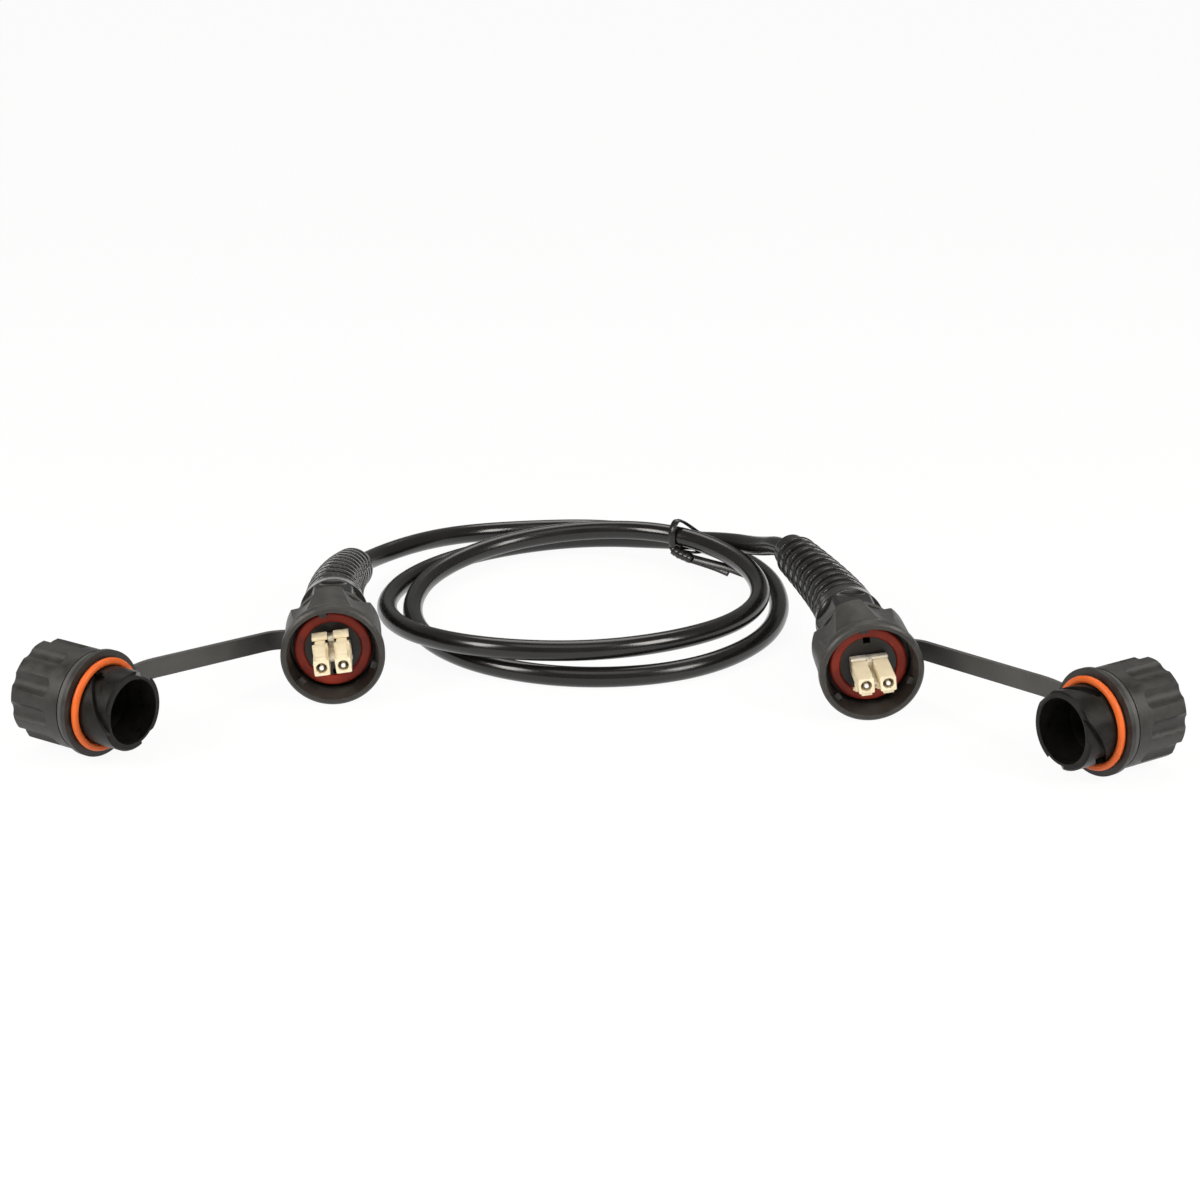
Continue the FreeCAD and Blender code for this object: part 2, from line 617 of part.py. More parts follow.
def lead_route(name):
    """Corner points of the cable from its end in the plug to where it joins its turns."""
    end = ENDS[name]
    plug = plug_placement(end)
    inside = [Vector(-CABLE_END_DEPTH, 0, 0), boot_corner(end)[0], boot_end(end, end["lead_out"])]
    turns = coil_points()
    tied = turns[:2] if name == "left" else turns[:-3:-1]
    tied[-1] = tied[-2] + (tied[-1] - tied[-2]) * COIL_OVERLAP[name]
    return [plug.multVec(p) for p in inside] + [Vector(*p) for p in LEAD_POINTS[name]] + tied


def cable_lead(name):
    """Cable from its end in a plug to where it joins its turns."""
    edges, radii = rounded(lead_route(name))
    print(name, "lead: length", round(sum(edge.Length for edge in edges), 1), "radii", radii)
    return pipe(edges, CABLE_DIA)


def cable_coil():
    """Outer shape of the two tied turns."""
    edge = CABLE_DIA / 2
    inner = COIL_INNER_RADIUS
    outer = COIL_OUTER_RADIUS
    section = [(inner, edge), (inner + edge, 0), (outer - edge, 0), (outer, edge),
               (outer, COIL_TOP - COIL_SHOULDER), (outer - COIL_SHOULDER, COIL_TOP), (inner, COIL_TOP)]
    corners = [Vector(r, 0, z) for r, z in section]
    ring = Part.Face(Part.makePolygon(corners + corners[:1])).revolve(Vector(0, 0, 0), UP, 360)
    ring.translate(COIL_CENTRE)
    return ring


def ribbon(points, across):
    """Flat wire with mitred corners through points, its width along the way given."""
    thick_way = across.cross(points[1] - points[0]).normalize() * (TIE_THICK / 2)
    wide_way = across * (TIE_WIDTH / 2)
    signs = ((1, 1), (-1, 1), (-1, -1), (1, -1), (1, 1))
    corners = [points[0] + wide_way * w + thick_way * t for w, t in signs]
    return Part.makePolygon(points).makePipeShell([Part.makePolygon(corners)], True, False, 1)


def twist_tie():
    """Wire tie: a loop round the strands, a twisted knot on its inner side and two tails."""
    angle = math.radians(TIE_ANGLE)
    outwards = Vector(math.cos(angle), math.sin(angle), 0)
    along = Vector(-outwards.y, outwards.x, 0)
    gap = TIE_THICK / 2
    inner = COIL_INNER_RADIUS - gap
    outer = smooth_value(COIL_RADII, 0) + CABLE_DIA / 2 + gap
    section = [(inner, gap), (inner, COIL_TOP + gap), (COIL_OUTER_RADIUS - COIL_SHOULDER, COIL_TOP + gap),
               (outer, CABLE_DIA), (outer, gap)]
    loop = [COIL_CENTRE + outwards * r + UP * z for r, z in section]
    seam = (loop[0] + loop[1]) / 2
    pieces = [ribbon([seam] + loop[1:] + loop[:1] + [seam], along)]
    start = loop[0] + UP * (TIE_KNOT_DIA / 2)
    stop = start - outwards * TIE_KNOT_LENGTH
    corners = [start + (along * math.cos(a) + UP * math.sin(a)) * (TIE_KNOT_DIA / 2)
               for a in (math.radians(60 * i) for i in range(7))]
    pieces.append(Part.Face(Part.makePolygon(corners)).extrude(stop - start))
    for tail in TIE_TAILS:
        pieces.append(ribbon([stop + outwards * gap, stop + Vector(*tail)], UP))
    return join(pieces)


def build():
    """All nodes by name, in place."""
    nodes = {}
    for name, end in ENDS.items():
        plug = plug_placement(end)
        cap = cap_placement(end)
        rolled = Placement(Vector(0, 0, 0), Rotation(AXIS_X, end["roll"]))
        in_plug = {"coupling_sleeve": coupling_sleeve(end["grip_roll"]), "plug_body": plug_body(),
                   "face_seal": face_seal(), "crimp_sleeve": crimp_sleeve(), "grommet": grommet(),
                   "gland_nut": gland_nut(end)}
        in_carrier = {"lc_carrier": lc_carrier(), "lc_clip": lc_clip(), "fibre_legs": fibre_legs()}
        for letter, y in lc_places().items():
            in_carrier["lc_housing_" + letter] = lc_housing(y)
            in_carrier["ferrule_" + letter] = ferrule(y)
        in_cap = {"dust_cap": dust_cap(end["cap_roll"]), "cap_ring": cap_ring()}
        for group, frame in ((in_plug, plug), (in_carrier, plug.multiply(rolled)), (in_cap, cap)):
            for node, shape in group.items():
                shape.Placement = frame.multiply(shape.Placement)
                nodes[name + "_" + node] = shape
        nodes[name + "_strap"] = strap(end)
        nodes[name + "_cable_lead"] = cable_lead(name)
    nodes["cable_coil"] = cable_coil()
    nodes["twist_tie"] = twist_tie()
    return nodes


os.makedirs("parts", exist_ok=True)
for node, shape in build().items():
    shape.exportStep("parts/" + node + ".step")
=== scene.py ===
import json
import math

import bmesh
import bpy
from mathutils import Matrix, Vector


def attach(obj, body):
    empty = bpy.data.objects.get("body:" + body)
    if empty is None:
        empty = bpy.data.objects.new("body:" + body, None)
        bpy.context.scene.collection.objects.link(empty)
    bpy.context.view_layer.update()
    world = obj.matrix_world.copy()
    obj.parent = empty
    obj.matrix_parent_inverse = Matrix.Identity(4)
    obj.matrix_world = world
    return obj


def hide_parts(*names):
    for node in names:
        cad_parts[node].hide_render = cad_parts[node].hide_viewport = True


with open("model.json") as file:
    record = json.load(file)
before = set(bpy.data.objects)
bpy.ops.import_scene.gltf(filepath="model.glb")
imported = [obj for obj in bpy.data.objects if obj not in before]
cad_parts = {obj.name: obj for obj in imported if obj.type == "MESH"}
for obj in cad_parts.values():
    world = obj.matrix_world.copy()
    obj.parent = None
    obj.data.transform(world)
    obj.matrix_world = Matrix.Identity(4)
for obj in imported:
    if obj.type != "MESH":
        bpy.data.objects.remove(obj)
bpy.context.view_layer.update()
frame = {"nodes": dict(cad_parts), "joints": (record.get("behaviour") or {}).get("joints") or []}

JOINTS = {joint["name"]: joint for joint in frame["joints"]}
SIDES = {"left": 1, "right": -1}

# Camera
CAMERA_TARGET = Vector((0.00175, 0.0743, 0.0))
CAMERA_DISTANCE = 0.886
CAMERA_ELEVATION = math.radians(20.0)
SENSOR = 36.0
LENS = 82.8

# Cable: the route's points, in metres
CABLE_DIA = 0.0062
CABLE_IN_BOOT = 0.010
CABLE_SPAN_STEPS = 12
CABLE_ROUND_STEPS = 8
COIL_CENTRE = Vector((-0.0038, 0.0597, 0.0))
COIL_START_ANGLE = 60.0
COIL_STEP = 30.0
COIL_STATION = 60.0
COIL_RADII = (0.0715, 0.0615, 0.0625, 0.0575, 0.053, 0.057, 0.0572, 0.056, 0.055, 0.062, 0.0613, 0.0625, 0.0625)
COIL_HEIGHTS = (0.0040, 0.0031, 0.0031, 0.0031, 0.0036, 0.0066, 0.0109, 0.0082, 0.0102, 0.0106, 0.0042, 0.0031,
                0.0062)
LEAD_POINTS = {
    "left": ((-0.061, 0.108, 0.0076), (-0.046, 0.127, 0.0046), (-0.025, 0.1363, 0.0031),
             (-0.0015, 0.1382, 0.0031), (0.0165, 0.1335, 0.0031)),
    "right": ((0.053, 0.0875, 0.0136), (0.0445, 0.1015, 0.0105)),
}

# Gland nut and bend relief, along the plug's axis from the rim
NUT_DEPTH = 0.0252
NUT_LENGTH = 0.0194
NUT_RADIUS = 0.0103
NUT_FLAT_RADIUS = 0.0092
NUT_FLAT_START = 0.002
NUT_FLAT_END = 0.0115
NUT_FLAT_EASE = 0.0003
NUT_FLAT_SECTOR = math.pi / 3
NUT_CHAMFER = 0.0006
NUT_CHAMFER_LENGTH = 0.0007
NUT_END_RADIUS = 0.0092
BOOT_LENGTH = 0.051
BOOT_BEND = {"left": 0.022, "right": 0.014}
BOOT_TURN = {"left": math.radians(16.9), "right": math.radians(15.0)}
BOOT_LIFT = {"left": math.radians(-39.0), "right": math.radians(6.0)}
LEAD_OUT = {"left": 0.010, "right": 0.004}
BOOT_RADIUS = 0.0092
BOOT_RIB_END_RADIUS = 0.0068
BOOT_TAIL_RADIUS = 0.0059
BOOT_END_RADIUS = 0.0054
BOOT_TAIL = 0.006
BOOT_TAIL_STEP = 0.12
BOOT_TURNS = 9.5
BOOT_GROOVE = 0.0013
# A rib's flank and the fall of its crest, from 0 on the crest to 1 in the groove, and where the ribs fade
RIB_FLANK = (0.46, 0.74)
RIB_CROWN = 0.22
RIB_FADE_IN = 0.0010
RIB_FADE_OUT = 0.0016

# Cap and plug rings
CAP_GROOVE_MIDDLE = 0.0027
CAP_RING_RADIUS = 0.0122
CAP_RING_SECTION = 0.00105
SEAL_FRONT = -0.006
SEAL_BACK = -0.008
SEAL_INNER = 0.00825
SEAL_OUTER = 0.01125
SEAL_CORNER = 0.0008
SEAL_CORNER_STEPS = 6
RING_SECTION_STEPS = 20
RING_SEGMENTS = 96


def axes_frame(origin, x_axis):
    """Matrix of a frame with its +X along an axis, +Y level and +Z as upright as it can be."""
    x = Vector(x_axis).normalized()
    y = Vector((0, 0, 1)).cross(x).normalized()
    z = x.cross(y)
    matrix = Matrix((x, y, z)).transposed().to_4x4()
    matrix.translation = origin
    return matrix


def plug_frame(name):
    """Frame of a plug: origin at the middle of its rim, +X out of its mouth."""
    joint = JOINTS[name + "_coupling_turn"]
    return axes_frame(Vector(joint["pos_m"]), joint["axis"])


def cap_frame(name):
    """Frame of a dust cap: origin at the middle of its flange face, +X out of its mouth."""
    joint = JOINTS[name + "_cap_swivel"]
    axis = Vector(joint["axis"]).normalized()
    return axes_frame(Vector(joint["pos_m"]) + axis * CAP_GROOVE_MIDDLE, axis)


def boot_corner(name):
    """Corner of the boot's path and its way out, in the plug's frame."""
    across = Vector((0, SIDES[name] * math.cos(BOOT_LIFT[name]), math.sin(BOOT_LIFT[name])))
    corner = Vector((-NUT_DEPTH - NUT_LENGTH - BOOT_BEND[name], 0, 0))
    turn = BOOT_TURN[name]
    return corner, Vector((-math.cos(turn), 0, 0)) + across * math.sin(turn)


def boot_end(name, beyond=0.0):
    """Middle of the boot's end face, or the place a distance beyond it, in the plug's frame."""
    corner, out = boot_corner(name)
    return corner + out * (BOOT_LENGTH - BOOT_BEND[name] + beyond)


def add_mesh(name, points, faces, material, body, smooth=True):
    """New mesh piece that rides on a body."""
    mesh = bpy.data.meshes.new(name)
    mesh.from_pydata([tuple(p) for p in points], [], faces)
    mesh.validate()
    mesh.polygons.foreach_set("use_smooth", [smooth] * len(mesh.polygons))
    mesh.materials.append(material)
    piece = bpy.data.objects.new(name, mesh)
    bpy.context.scene.collection.objects.link(piece)
    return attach(piece, body)


def skin(rings, closed):
    """Points and faces of a surface through rings of equal count; closed joins the last ring to the first."""
    count = len(rings[0])
    points = [p for ring in rings for p in ring]
    faces = []
    for i in range(len(rings) if closed else len(rings) - 1):
        j = (i + 1) % len(rings)
        for k in range(count):
            m = (k + 1) % count
            faces.append((i * count + k, i * count + m, j * count + m, j * count + k))
    if not closed:
        faces.append(tuple(reversed(range(count))))
        faces.append(tuple(len(points) - count + k for k in range(count)))
    return points, faces


def lathe(matrix, profile, count):
    """Closed ring about +X from an (x, radius) profile, in a frame."""
    rings = []
    for k in range(count):
        a = 2 * math.pi * k / count
        rings.append([matrix @ Vector((x, r * math.cos(a), r * math.sin(a))) for x, r in profile])
    return skin(rings, True)


def ease(low, high, value):
    """Smooth step from 0 at low to 1 at high."""
    t = min(max((value - low) / (high - low), 0.0), 1.0)
    return t * t * (3 - 2 * t)


# Materials

MOTTLE_DETAIL = 4.0
MOTTLE_LOW = 0.3
MOTTLE_HIGH = 0.7
GRAIN_SCALE = 2600.0
GRAIN_DETAIL = 3.0
GRAIN_HEIGHT = 0.0002
# Smoother finish of a cap's barrel, with its colour darkened as painted shade, as shares of the cap's own colour
# and roughness
BARREL_START = 0.0001
BARREL_PAINTED_SHADE = 0.55
BARREL_ROUGHNESS = 0.75
BARREL_SPECULAR = 0.12


def new_material(name):
    """New node material, with its nodes and links."""
    material = bpy.data.materials.new(name)
    material.use_nodes = True
    return material, material.node_tree.nodes, material.node_tree.links


def moulded(name, dark, light, roughness, depth=0.03, mottle=90.0, spread=0.12, edge=0.00025, specular=0.5):
    """Moulded plastic or rubber: fine grain, soft mottling, uneven gloss and softened edges."""
    material, nodes, links = new_material(name)
    shader = nodes["Principled BSDF"]
    shader.inputs["Specular IOR Level"].default_value = specular
    place = nodes.new("ShaderNodeTexCoord")
    cloud = nodes.new("ShaderNodeTexNoise")
    cloud.inputs["Scale"].default_value = mottle
    cloud.inputs["Detail"].default_value = MOTTLE_DETAIL
    links.new(place.outputs["Object"], cloud.inputs["Vector"])
    tint = nodes.new("ShaderNodeValToRGB")
    tint.color_ramp.elements[0].position = MOTTLE_LOW
    tint.color_ramp.elements[0].color = (*dark, 1)
    tint.color_ramp.elements[1].position = MOTTLE_HIGH
    tint.color_ramp.elements[1].color = (*light, 1)
    links.new(cloud.outputs["Fac"], tint.inputs["Fac"])
    links.new(tint.outputs["Color"], shader.inputs["Base Color"])
    fine = nodes.new("ShaderNodeTexNoise")
    fine.inputs["Scale"].default_value = GRAIN_SCALE
    fine.inputs["Detail"].default_value = GRAIN_DETAIL
    links.new(place.outputs["Object"], fine.inputs["Vector"])
    gloss = nodes.new("ShaderNodeMapRange")
    gloss.inputs["From Min"].default_value = MOTTLE_LOW
    gloss.inputs["From Max"].default_value = MOTTLE_HIGH
    gloss.inputs["To Min"].default_value = roughness - spread / 2
    gloss.inputs["To Max"].default_value = roughness + spread / 2
    links.new(cloud.outputs["Fac"], gloss.inputs["Value"])
    links.new(gloss.outputs["Result"], shader.inputs["Roughness"])
    bump = nodes.new("ShaderNodeBump")
    bump.inputs["Strength"].default_value = depth
    bump.inputs["Distance"].default_value = GRAIN_HEIGHT
    links.new(fine.outputs["Fac"], bump.inputs["Height"])
    if edge:
        round_edge = nodes.new("ShaderNodeBevel")
        round_edge.inputs["Radius"].default_value = edge
        links.new(round_edge.outputs["Normal"], bump.inputs["Normal"])
    links.new(bump.outputs["Normal"], shader.inputs["Normal"])
    return material


def smooth_barrel_with_painted_shade(material, matrix):
    """Painted shade and a smoother finish on the barrel of a cap, in front of its flange: darker colour as painted
    shade, lower roughness and specular level.
    """
    nodes = material.node_tree.nodes
    links = material.node_tree.links
    axis = matrix.to_3x3() @ Vector((1, 0, 0))
    place = nodes.new("ShaderNodeTexCoord")
    along = nodes.new("ShaderNodeVectorMath")
    along.operation = "DOT_PRODUCT"
    along.inputs[1].default_value = axis
    links.new(place.outputs["Object"], along.inputs[0])
    front = nodes.new("ShaderNodeMath")
    front.operation = "GREATER_THAN"
    front.inputs[1].default_value = axis.dot(matrix.translation) + BARREL_START
    links.new(along.outputs["Value"], front.inputs[0])
    shader = nodes["Principled BSDF"]
    # Base colour darkened as painted shade; roughness lowered for the smoother finish
    for socket, share in (("Base Color", BARREL_PAINTED_SHADE), ("Roughness", BARREL_ROUGHNESS)):
        plain = shader.inputs[socket].links[0].from_socket
        less = nodes.new("ShaderNodeMapRange")
        less.inputs["To Min"].default_value = 1.0
        less.inputs["To Max"].default_value = share
        links.new(front.outputs[0], less.inputs["Value"])
        scale = nodes.new("ShaderNodeVectorMath")
        scale.operation = "SCALE"
        links.new(plain, scale.inputs[0])
        links.new(less.outputs["Result"], scale.inputs["Scale"])
        links.new(scale.outputs[0], shader.inputs[socket])
    shine = nodes.new("ShaderNodeMapRange")
    shine.inputs["To Min"].default_value = shader.inputs["Specular IOR Level"].default_value
    shine.inputs["To Max"].default_value = BARREL_SPECULAR
    links.new(front.outputs[0], shine.inputs["Value"])
    links.new(shine.outputs["Result"], shader.inputs["Specular IOR Level"])


shell = moulded("shell_plastic", (0.026, 0.0244, 0.0214), (0.045, 0.0425, 0.0378), 0.43, depth=0.16,
                mottle=330.0, spread=0.16, specular=0.42)
cap_shells = {side: moulded(side + "_cap_plastic", (0.015, 0.0141, 0.0125), (0.030, 0.0284, 0.0254), 0.44,
                            depth=0.16, mottle=330.0, spread=0.18, specular=0.4) for side in SIDES}
for side, material in cap_shells.items():
    smooth_barrel_with_painted_shade(material, cap_frame(side))
carrier_plastic = moulded("carrier_plastic", (0.014, 0.0133, 0.012), (0.023, 0.0219, 0.0199), 0.45)
strap_rubber = moulded("strap_rubber", (0.047, 0.0452, 0.0418), (0.066, 0.0635, 0.059), 0.52, depth=0.1)
gland_plastic = moulded("gland_plastic", (0.007, 0.0066, 0.0059), (0.013, 0.0123, 0.011), 0.22, depth=0.012,
                        edge=0.0)
jacket = moulded("cable_jacket", (0.007, 0.0066, 0.0058), (0.012, 0.0113, 0.0101), 0.2, depth=0.008, mottle=60.0,
                 edge=0.0)
tie_plastic = moulded("tie_plastic", (0.008, 0.0078, 0.0072), (0.014, 0.0135, 0.0125), 0.3, edge=0.0)
seal_rubber = moulded("face_seal", (0.22, 0.020, 0.010), (0.33, 0.033, 0.015), 0.5, mottle=200.0, edge=0.0,
                      specular=0.3)
ring_rubber = moulded("cap_ring", (0.71, 0.122, 0.017), (0.78, 0.146, 0.024), 0.42, mottle=150.0, edge=0.0,
                      specular=0.3)
beige = moulded("connector_plastic", (0.78, 0.67, 0.45), (0.86, 0.76, 0.54), 0.38, depth=0.05, mottle=250.0,
                edge=0.0002)
# Clip plastic: whiter than the connectors, partly its own colour and partly painted light, lightened because the
# clip bar lies in the sleeve's shade
clip_plastic_painted_light = moulded("clip_plastic_painted_light", (0.86, 0.81, 0.68), (0.91, 0.87, 0.76), 0.34, depth=0.05, mottle=250.0,
                       edge=0.0002)
ceramic = moulded("ferrule_ceramic", (0.82, 0.82, 0.8), (0.88, 0.88, 0.86), 0.2, depth=0.01, mottle=300.0)
brass = moulded("crimp_metal", (0.5, 0.4, 0.22), (0.62, 0.5, 0.29), 0.35)
brass.node_tree.nodes["Principled BSDF"].inputs["Metallic"].default_value = 1.0
leg_jacket = moulded("fibre_jacket", (0.08, 0.42, 0.46), (0.12, 0.52, 0.56), 0.45)
grommet_rubber = moulded("grommet_rubber", (0.02, 0.02, 0.02), (0.032, 0.031, 0.03), 0.6)

NODE_MATERIALS = {
    "coupling_sleeve": shell, "plug_body": carrier_plastic, "lc_carrier": carrier_plastic, "ferrule_a": ceramic,
    "ferrule_b": ceramic, "crimp_sleeve": brass, "fibre_legs": leg_jacket, "grommet": grommet_rubber,
    "strap": strap_rubber,
}
for side in SIDES:
    for node, material in [*NODE_MATERIALS.items(), ("dust_cap", cap_shells[side])]:
        piece = frame["nodes"][side + "_" + node]
        for slot in piece.material_slots:
            slot.material = material


# Cable

def smooth_value(stations, place):
    """Value between evenly spaced stations on a curve through them."""
    i = min(int(place), len(stations) - 2)
    u = place - i
    before, a, b, after = (stations[min(max(k, 0), len(stations) - 1)] for k in range(i - 1, i + 3))
    return (a + u * (b - before) / 2 + u * u * (before - 2.5 * a + 2 * b - after / 2)
            + u ** 3 * (1.5 * (a - b) + (after - before) / 2))


def coil_points():
    """Points of the two turns, clockwise from the tie, on the floor or where they cross over."""
    spread = 1 / math.cos(math.radians(COIL_STEP / 2))
    count = round((len(COIL_RADII) - 1) * COIL_STATION / COIL_STEP)
    points = []
    for i in range(count + 1):
        angle = math.radians(COIL_START_ANGLE - COIL_STEP * i)
        place = i * COIL_STEP / COIL_STATION
        radius = smooth_value(COIL_RADII, place) * spread
        height = max(CABLE_DIA / 2, smooth_value(COIL_HEIGHTS, place))
        points.append(COIL_CENTRE + Vector((radius * math.cos(angle), radius * math.sin(angle), height)))
    return points


def boot_points(name):
    """Point in the boot's tail where the cable starts, and the first free point on its way out."""
    matrix = plug_frame(name)
    return [matrix @ boot_end(name, -CABLE_IN_BOOT), matrix @ boot_end(name, LEAD_OUT[name])]


route = boot_points("left") + [Vector(p) for p in LEAD_POINTS["left"]] + coil_points()
route += [Vector(p) for p in reversed(LEAD_POINTS["right"])] + list(reversed(boot_points("right")))

cable_curve = bpy.data.curves.new("cable", "CURVE")
cable_curve.dimensions = "3D"
spline = cable_curve.splines.new("NURBS")
spline.points.add(len(route) - 1)
for point, place in zip(spline.points, route):
    point.co = (*place, 1.0)
spline.order_u = 3
spline.use_endpoint_u = True
spline.resolution_u = CABLE_SPAN_STEPS
cable_curve.bevel_depth = CABLE_DIA / 2
cable_curve.bevel_resolution = CABLE_ROUND_STEPS
cable_curve.use_fill_caps = True
cable_curve.materials.append(jacket)
cable = bpy.data.objects.new("cable", cable_curve)
bpy.context.scene.collection.objects.link(cable)
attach(cable, "cord")
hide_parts("left_cable_lead", "right_cable_lead", "cable_coil")


# Gland nuts with their bend reliefs

BOOT_SEGMENTS = 96
BOOT_EDGE = 0.0008
NUT_STEP = 0.0004
BOOT_STEP = 0.00015
BORE_RADIUS = 0.00315
BORE_RINGS = 24


def boot_place(name, distance):
    """Point and frame axes at a distance from the nut's front, on a line and then one smooth bend."""
    if distance <= NUT_LENGTH:
        return Vector((-NUT_DEPTH - distance, 0, 0)), Vector((-1, 0, 0))
    start = Vector((-NUT_DEPTH - NUT_LENGTH, 0, 0))
    corner = boot_corner(name)[0]
    stop = boot_end(name)
    bend = BOOT_BEND[name]
    s = distance - NUT_LENGTH
    t = s / (bend + math.sqrt(bend * bend + (BOOT_LENGTH - 2 * bend) * s))
    point = start * (1 - t) ** 2 + corner * (2 * t * (1 - t)) + stop * t * t
    along = (corner - start) * (1 - t) + (stop - corner) * t
    return point, along.normalized()


def boot_radius(distance, angle):
    """Outer radius of the nut and its bend relief."""
    if distance <= NUT_LENGTH:
        taper = ease(NUT_FLAT_END, NUT_LENGTH, distance)
        round_radius = NUT_RADIUS + (NUT_END_RADIUS - NUT_RADIUS) * taper
        round_radius -= NUT_CHAMFER * (1 - ease(0.0, NUT_CHAMFER_LENGTH, distance))
        off_flat = (angle + NUT_FLAT_SECTOR / 2) % NUT_FLAT_SECTOR - NUT_FLAT_SECTOR / 2
        flat = NUT_FLAT_RADIUS / math.cos(off_flat)
        share = ease(NUT_FLAT_START - NUT_FLAT_EASE, NUT_FLAT_START, distance)
        share *= 1 - ease(NUT_FLAT_END, NUT_FLAT_END + NUT_FLAT_EASE, distance)
        return round_radius + (min(round_radius, flat) - round_radius) * share
    s = distance - NUT_LENGTH
    ribbed = BOOT_LENGTH - BOOT_TAIL
    if s < ribbed:
        base = BOOT_RADIUS + (BOOT_RIB_END_RADIUS - BOOT_RADIUS) * s / ribbed
        phase = (s / ribbed * BOOT_TURNS + angle / (2 * math.pi)) % 1.0
        off_rib = abs(phase - 0.5) * 2
        groove = ease(*RIB_FLANK, off_rib)
        crown = RIB_CROWN * off_rib * off_rib
        present = ease(0.0, RIB_FADE_IN, s) * (1 - ease(ribbed - RIB_FADE_OUT, ribbed, s))
        return base - BOOT_GROOVE * min(1.0, groove + crown) * present
    tail = (s - ribbed) / BOOT_TAIL
    base = BOOT_TAIL_RADIUS + (BOOT_END_RADIUS - BOOT_TAIL_RADIUS) * tail
    base += (BOOT_RIB_END_RADIUS - BOOT_TAIL_RADIUS) * (1 - ease(0.0, BOOT_TAIL_STEP, tail))
    rounding = max(0.0, (s - BOOT_LENGTH + BOOT_EDGE) / BOOT_EDGE)
    return base - BOOT_EDGE * (1 - math.sqrt(max(0.0, 1 - rounding ** 2)))


def boot_mesh(name):
    """Rings of the outside from the nut to the tail, then back through the cable's bore."""
    matrix = plug_frame(name)
    total = NUT_LENGTH + BOOT_LENGTH
    nut_count = round(NUT_LENGTH / NUT_STEP)
    boot_count = round(BOOT_LENGTH / BOOT_STEP)
    outer = [NUT_LENGTH * i / nut_count for i in range(nut_count)]
    outer += [NUT_LENGTH + BOOT_LENGTH * i / boot_count for i in range(boot_count + 1)]
    inner = [total * (1 - i / BORE_RINGS) for i in range(BORE_RINGS + 1)]
    rings = []
    for places, bored in ((outer, False), (inner, True)):
        for distance in places:
            point, along = boot_place(name, distance)
            across = along.cross(Vector((0, 0, 1))).normalized()
            upright = across.cross(along)
            ring = []
            for k in range(BOOT_SEGMENTS):
                angle = 2 * math.pi * k / BOOT_SEGMENTS
                radius = BORE_RADIUS if bored else boot_radius(distance, angle)
                ring.append(matrix @ (point + (across * math.sin(angle) + upright * math.cos(angle)) * radius))
            rings.append(ring)
    return skin(rings, True)


for side in SIDES:
    boot = add_mesh(side + "_boot", *boot_mesh(side), gland_plastic, "cord")
    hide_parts(side + "_gland_nut")


# Connector pairs

LC_ROLL = {"left": math.radians(6.5), "right": math.radians(186.0)}
LC_HALF = 0.00225
LC_PITCH = 0.00625
LC_FRONT = 0.0084
LC_TAIL = 0.0200
LC_MOUTH = 0.0020
LC_MOUTH_RADIUS = 0.0016
LC_CHAMBER_RADIUS = 0.00185
LC_CHAMBER_END = -0.0070
LC_EDGE = 0.00012
LC_EDGE_STEPS = 2
LC_SEGMENTS = 48
LATCH_HALF_WIDTH = 0.0015
CLIP_FIT = 0.00005
# Power of a ring's outline: a square with rounded corners, or a circle
SQUARE = 14.0
ROUND = 2.0
# Side profiles as (along, height) in the connector's frame
LATCH_PROFILE = ((0.0080, 0.00205), (0.0080, 0.00305), (0.0066, 0.00305), (0.0020, 0.00445), (-0.0016, 0.00455),
                 (-0.0040, 0.00595), (-0.0040, 0.00505), (-0.0012, 0.00385), (0.0014, 0.00205))
TAB_PROFILE = ((-0.0016, 0.00475), (-0.0016, 0.00568), (-0.0022, 0.00590), (-0.0025, 0.00577), (-0.0028, 0.00611),
               (-0.0031, 0.00598), (-0.0034, 0.00632), (-0.0040, 0.00655), (-0.0040, 0.00545))
STEP_PROFILE = ((0.0020, 0.00205), (0.0020, 0.00430), (0.0016, 0.00445), (0.0002, 0.00445), (0.0002, 0.00205))
CLIP_PROFILES = {
    "bar": ((-0.0064, -0.00305), (-0.0040, -0.00305), (-0.0040, -LC_HALF - CLIP_FIT),
            (-0.0064, -LC_HALF - CLIP_FIT)),
    "post": ((-0.0064, -0.00305), (-0.0040, -0.00305), (-0.0040, 0.00405), (-0.0022, 0.00405), (-0.0022, 0.00525),
             (-0.0064, 0.00525)),
    "web": ((0.0046, 0.00075), (0.0046, 0.00165), (-0.0060, 0.00165), (-0.0060, 0.00075)),
}


def lc_frame(name):
    """Frame of a connector pair: the plug's frame turned about its axis."""
    return plug_frame(name) @ Matrix.Rotation(LC_ROLL[name], 4, "X")


def lc_ring(x, y, half, power):
    """Ring across a connector, from a circle to a square with rounded corners."""
    ring = []
    for k in range(LC_SEGMENTS):
        a = 2 * math.pi * k / LC_SEGMENTS
        radius = half / (abs(math.cos(a)) ** power + abs(math.sin(a)) ** power) ** (1 / power)
        ring.append(Vector((x, y + radius * math.cos(a), radius * math.sin(a))))
    return ring


